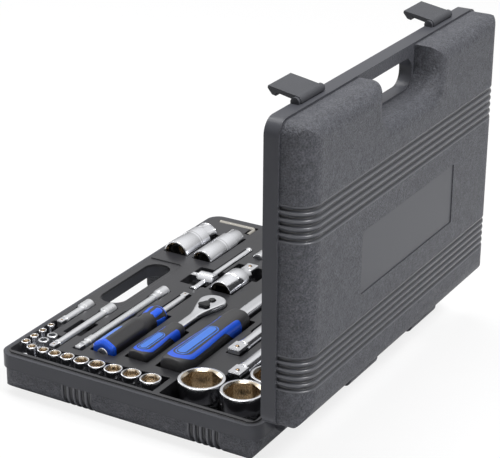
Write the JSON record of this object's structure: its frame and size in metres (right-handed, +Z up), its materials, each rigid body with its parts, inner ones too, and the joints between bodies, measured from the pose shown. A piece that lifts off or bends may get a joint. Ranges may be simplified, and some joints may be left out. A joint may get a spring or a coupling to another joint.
{
  "type": "socket wrench set in case",
  "caption": "Moulded carrying case standing open, with sockets, ratchets, extensions and joints seated in its tool tray.",
  "frame": {"origin": "middle of the flat underside that the case rests on", "axes": "+Z up, +Y towards the hinge side, X along the hinge with +X at the end that holds the row of small sockets; the lid stands open at a right angle at rest"},
  "size_m": [0.385, 0.323, 0.3335],
  "materials": {
    "case_plastic": "matte, fine grain",
    "tray_plastic": "matte",
    "steel_pin": "bright",
    "chrome_steel": "polished",
    "satin_steel": "satin",
    "cable_steel": "satin",
    "grip_plastic": "satin black with blue bands",
    "lever_plastic": "satin black",
    "nickel_steel": "satin nickel"
  },
  "bodies": {
    "case_base": {"base_shell": "case_plastic", "tool_tray": "tray_plastic", "hinge_pins": "steel_pin"},
    "lid": {"lid_shell": "case_plastic", "lid_liner": "tray_plastic"},
    "latch_near": {"latch_near": "case_plastic"},
    "latch_far": {"latch_far": "case_plastic"},
    "small_socket_4": {"small_socket_4": "chrome_steel"},
    "small_socket_4_5": {"small_socket_4_5": "chrome_steel"},
    "small_socket_5": {"small_socket_5": "chrome_steel"},
    "small_socket_5_5": {"small_socket_5_5": "chrome_steel"},
    "small_socket_6": {"small_socket_6": "chrome_steel"},
    "small_socket_7": {"small_socket_7": "chrome_steel"},
    "small_socket_8": {"small_socket_8": "chrome_steel"},
    "small_socket_9": {"small_socket_9": "chrome_steel"},
    "small_socket_10": {"small_socket_10": "chrome_steel"},
    "small_socket_11": {"small_socket_11": "chrome_steel"},
    "small_socket_12": {"small_socket_12": "chrome_steel"},
    "small_socket_13": {"small_socket_13": "chrome_steel"},
    "small_socket_14": {"small_socket_14": "chrome_steel"},
    "large_socket_32": {"large_socket_32": "chrome_steel"},
    "large_socket_30": {"large_socket_30": "chrome_steel"},
    "large_socket_27": {"large_socket_27": "chrome_steel"},
    "large_socket_24": {"large_socket_24": "chrome_steel"},
    "large_socket_22": {"large_socket_22": "chrome_steel"},
    "large_socket_19": {"large_socket_19": "chrome_steel"},
    "large_socket_17": {"large_socket_17": "chrome_steel"},
    "large_socket_14": {"large_socket_14": "chrome_steel"},
    "large_socket_12": {"large_socket_12": "chrome_steel"},
    "large_socket_10": {"large_socket_10": "chrome_steel"},
    "spark_socket_21": {"spark_socket_21": "chrome_steel"},
    "spark_socket_16": {"spark_socket_16": "chrome_steel"},
    "small_extension_50": {"small_extension_50": "chrome_steel"},
    "small_extension_100": {"small_extension_100": "chrome_steel"},
    "flex_extension": {"flex_ends": "chrome_steel", "flex_cable": "cable_steel"},
    "large_extension_125": {"large_extension_125": "chrome_steel"},
    "large_extension_250": {"large_extension_250": "chrome_steel"},
    "spinner_handle": {"spinner_grip": "grip_plastic", "spinner_shaft": "chrome_steel", "spinner_insert": "chrome_steel"},
    "small_ratchet": {"small_ratchet_body": "chrome_steel", "small_ratchet_grip": "grip_plastic"},
    "small_ratchet_gear": {"small_ratchet_gear": "satin_steel"},
    "small_ratchet_lever": {"small_ratchet_lever": "lever_plastic"},
    "small_ratchet_button": {"small_ratchet_button": "satin_steel"},
    "large_ratchet": {"large_ratchet_body": "chrome_steel", "large_ratchet_grip": "grip_plastic"},
    "large_ratchet_gear": {"large_ratchet_gear": "satin_steel"},
    "large_ratchet_lever": {"large_ratchet_lever": "lever_plastic"},
    "large_ratchet_button": {"large_ratchet_button": "satin_steel"},
    "universal_joint": {"joint_socket_end": "chrome_steel"},
    "universal_joint_cross": {"joint_cross": "satin_steel"},
    "universal_joint_drive": {"joint_drive_end": "chrome_steel"},
    "tbar": {"tbar_rod": "chrome_steel"},
    "tbar_slider": {"tbar_head": "chrome_steel"},
    "hex_key": {"hex_key": "nickel_steel"},
    "coupler_a": {"coupler_a": "chrome_steel"},
    "coupler_b": {"coupler_b": "chrome_steel"},
    "bit_adapter": {"bit_adapter": "chrome_steel"}
  },
  "joints": [
    {"name": "lid_hinge", "type": "hinge", "parent": "case_base", "child": "lid", "pos_m": [0, 0.14205, 0.04215], "axis": [-1, 0, 0], "range_deg": [-90, 0]},
    {"name": "latch_near_turn", "type": "hinge", "parent": "lid", "child": "latch_near", "pos_m": [0.127, 0.1462, 0.32455], "axis": [-1, 0, 0], "range_deg": [-12, 100]},
    {"name": "latch_far_turn", "type": "hinge", "parent": "lid", "child": "latch_far", "pos_m": [-0.127, 0.1462, 0.32455], "axis": [-1, 0, 0], "range_deg": [-12, 100]},
    {"name": "small_socket_4_lift", "type": "slide", "parent": "case_base", "child": "small_socket_4", "axis": [0, 0, 1], "range_m": [0, 0.06]},
    {"name": "small_socket_4_5_lift", "type": "slide", "parent": "case_base", "child": "small_socket_4_5", "axis": [0, 0, 1], "range_m": [0, 0.06]},
    {"name": "small_socket_5_lift", "type": "slide", "parent": "case_base", "child": "small_socket_5", "axis": [0, 0, 1], "range_m": [0, 0.06]},
    {"name": "small_socket_5_5_lift", "type": "slide", "parent": "case_base", "child": "small_socket_5_5", "axis": [0, 0, 1], "range_m": [0, 0.06]},
    {"name": "small_socket_6_lift", "type": "slide", "parent": "case_base", "child": "small_socket_6", "axis": [0, 0, 1], "range_m": [0, 0.06]},
    {"name": "small_socket_7_lift", "type": "slide", "parent": "case_base", "child": "small_socket_7", "axis": [0, 0, 1], "range_m": [0, 0.06]},
    {"name": "small_socket_8_lift", "type": "slide", "parent": "case_base", "child": "small_socket_8", "axis": [0, 0, 1], "range_m": [0, 0.06]},
    {"name": "small_socket_9_lift", "type": "slide", "parent": "case_base", "child": "small_socket_9", "axis": [0, 0, 1], "range_m": [0, 0.06]},
    {"name": "small_socket_10_lift", "type": "slide", "parent": "case_base", "child": "small_socket_10", "axis": [0, 0, 1], "range_m": [0, 0.06]},
    {"name": "small_socket_11_lift", "type": "slide", "parent": "case_base", "child": "small_socket_11", "axis": [0, 0, 1], "range_m": [0, 0.06]},
    {"name": "small_socket_12_lift", "type": "slide", "parent": "case_base", "child": "small_socket_12", "axis": [0, 0, 1], "range_m": [0, 0.06]},
    {"name": "small_socket_13_lift", "type": "slide", "parent": "case_base", "child": "small_socket_13", "axis": [0, 0, 1], "range_m": [0, 0.06]},
    {"name": "small_socket_14_lift", "type": "slide", "parent": "case_base", "child": "small_socket_14", "axis": [0, 0, 1], "range_m": [0, 0.06]},
    {"name": "large_socket_32_lift", "type": "slide", "parent": "case_base", "child": "large_socket_32", "axis": [0, 0, 1], "range_m": [0, 0.06]},
    {"name": "large_socket_30_lift", "type": "slide", "parent": "case_base", "child": "large_socket_30", "axis": [0, 0, 1], "range_m": [0, 0.06]},
    {"name": "large_socket_27_lift", "type": "slide", "parent": "case_base", "child": "large_socket_27", "axis": [0, 0, 1], "range_m": [0, 0.06]},
    {"name": "large_socket_24_lift", "type": "slide", "parent": "case_base", "child": "large_socket_24", "axis": [0, 0, 1], "range_m": [0, 0.06]},
    {"name": "large_socket_22_lift", "type": "slide", "parent": "case_base", "child": "large_socket_22", "axis": [0, 0, 1], "range_m": [0, 0.06]},
    {"name": "large_socket_19_lift", "type": "slide", "parent": "case_base", "child": "large_socket_19", "axis": [0, 0, 1], "range_m": [0, 0.06]},
    {"name": "large_socket_17_lift", "type": "slide", "parent": "case_base", "child": "large_socket_17", "axis": [0, 0, 1], "range_m": [0, 0.06]},
    {"name": "large_socket_14_lift", "type": "slide", "parent": "case_base", "child": "large_socket_14", "axis": [0, 0, 1], "range_m": [0, 0.06]},
    {"name": "large_socket_12_lift", "type": "slide", "parent": "case_base", "child": "large_socket_12", "axis": [0, 0, 1], "range_m": [0, 0.06]},
    {"name": "large_socket_10_lift", "type": "slide", "parent": "case_base", "child": "large_socket_10", "axis": [0, 0, 1], "range_m": [0, 0.06]},
    {"name": "spark_socket_21_lift", "type": "slide", "parent": "case_base", "child": "spark_socket_21", "axis": [0, 0, 1], "range_m": [0, 0.06]},
    {"name": "spark_socket_16_lift", "type": "slide", "parent": "case_base", "child": "spark_socket_16", "axis": [0, 0, 1], "range_m": [0, 0.06]},
    {"name": "small_extension_50_lift", "type": "slide", "parent": "case_base", "child": "small_extension_50", "axis": [0, 0, 1], "range_m": [0, 0.06]},
    {"name": "small_extension_100_lift", "type": "slide", "parent": "case_base", "child": "small_extension_100", "axis": [0, 0, 1], "range_m": [0, 0.06]},
    {"name": "flex_extension_lift", "type": "slide", "parent": "case_base", "child": "flex_extension", "axis": [0, 0, 1], "range_m": [0, 0.06]},
    {"name": "large_extension_125_lift", "type": "slide", "parent": "case_base", "child": "large_extension_125", "axis": [0, 0, 1], "range_m": [0, 0.06]},
    {"name": "large_extension_250_lift", "type": "slide", "parent": "case_base", "child": "large_extension_250", "axis": [0, 0, 1], "range_m": [0, 0.06]},
    {"name": "spinner_handle_lift", "type": "slide", "parent": "case_base", "child": "spinner_handle", "axis": [0, 0, 1], "range_m": [0, 0.06]},
    {"name": "small_ratchet_lift", "type": "slide", "parent": "case_base", "child": "small_ratchet", "axis": [0, 0, 1], "range_m": [0, 0.06]},
    {"name": "small_ratchet_spin", "type": "hinge", "parent": "small_ratchet", "child": "small_ratchet_gear", "pos_m": [0.006, -0.01975, 0.042], "axis": [0, 0, 1], "continuous": true},
    {"name": "small_ratchet_reverse", "type": "hinge", "parent": "small_ratchet", "child": "small_ratchet_lever", "pos_m": [0.0256, -0.01975, 0.042], "axis": [0, 0, 1], "range_deg": [-18, 18]},
    {"name": "small_ratchet_release", "type": "slide", "parent": "small_ratchet_gear", "child": "small_ratchet_button", "axis": [0, 0, -1], "range_m": [0, 0.0015], "stiffness_N_per_m": 600},
    {"name": "large_ratchet_lift", "type": "slide", "parent": "case_base", "child": "large_ratchet", "axis": [0, 0, 1], "range_m": [0, 0.06]},
    {"name": "large_ratchet_spin", "type": "hinge", "parent": "large_ratchet", "child": "large_ratchet_gear", "pos_m": [-0.09, 0.01875, 0.042], "axis": [0, 0, 1], "continuous": true},
    {"name": "large_ratchet_reverse", "type": "hinge", "parent": "large_ratchet", "child": "large_ratchet_lever", "pos_m": [-0.0634, 0.01875, 0.042], "axis": [0, 0, 1], "range_deg": [-18, 18]},
    {"name": "large_ratchet_release", "type": "slide", "parent": "large_ratchet_gear", "child": "large_ratchet_button", "axis": [0, 0, -1], "range_m": [0, 0.0015], "stiffness_N_per_m": 600},
    {"name": "universal_joint_lift", "type": "slide", "parent": "case_base", "child": "universal_joint", "axis": [0, 0, 1], "range_m": [0, 0.06]},
    {"name": "universal_joint_swing", "type": "hinge", "parent": "universal_joint", "child": "universal_joint_cross", "pos_m": [-0.0565, -0.02825, 0.042], "axis": [0, 0, 1], "range_deg": [-12, 12]},
    {"name": "universal_joint_bend", "type": "hinge", "parent": "universal_joint_cross", "child": "universal_joint_drive", "pos_m": [-0.0565, -0.02825, 0.042], "axis": [0, 1, 0], "range_deg": [0, 28]},
    {"name": "tbar_lift", "type": "slide", "parent": "case_base", "child": "tbar", "axis": [0, 0, 1], "range_m": [0, 0.06]},
    {"name": "tbar_slide", "type": "slide", "parent": "tbar", "child": "tbar_slider", "axis": [1, 0, 0], "range_m": [-0.012, 0.012]},
    {"name": "hex_key_lift", "type": "slide", "parent": "case_base", "child": "hex_key", "axis": [0, 0, 1], "range_m": [0, 0.06]},
    {"name": "coupler_a_lift", "type": "slide", "parent": "case_base", "child": "coupler_a", "axis": [0, 0, 1], "range_m": [0, 0.06]},
    {"name": "coupler_b_lift", "type": "slide", "parent": "case_base", "child": "coupler_b", "axis": [0, 0, 1], "range_m": [0, 0.06]},
    {"name": "bit_adapter_lift", "type": "slide", "parent": "case_base", "child": "bit_adapter", "axis": [0, 0, 1], "range_m": [0, 0.06]}
  ]
}
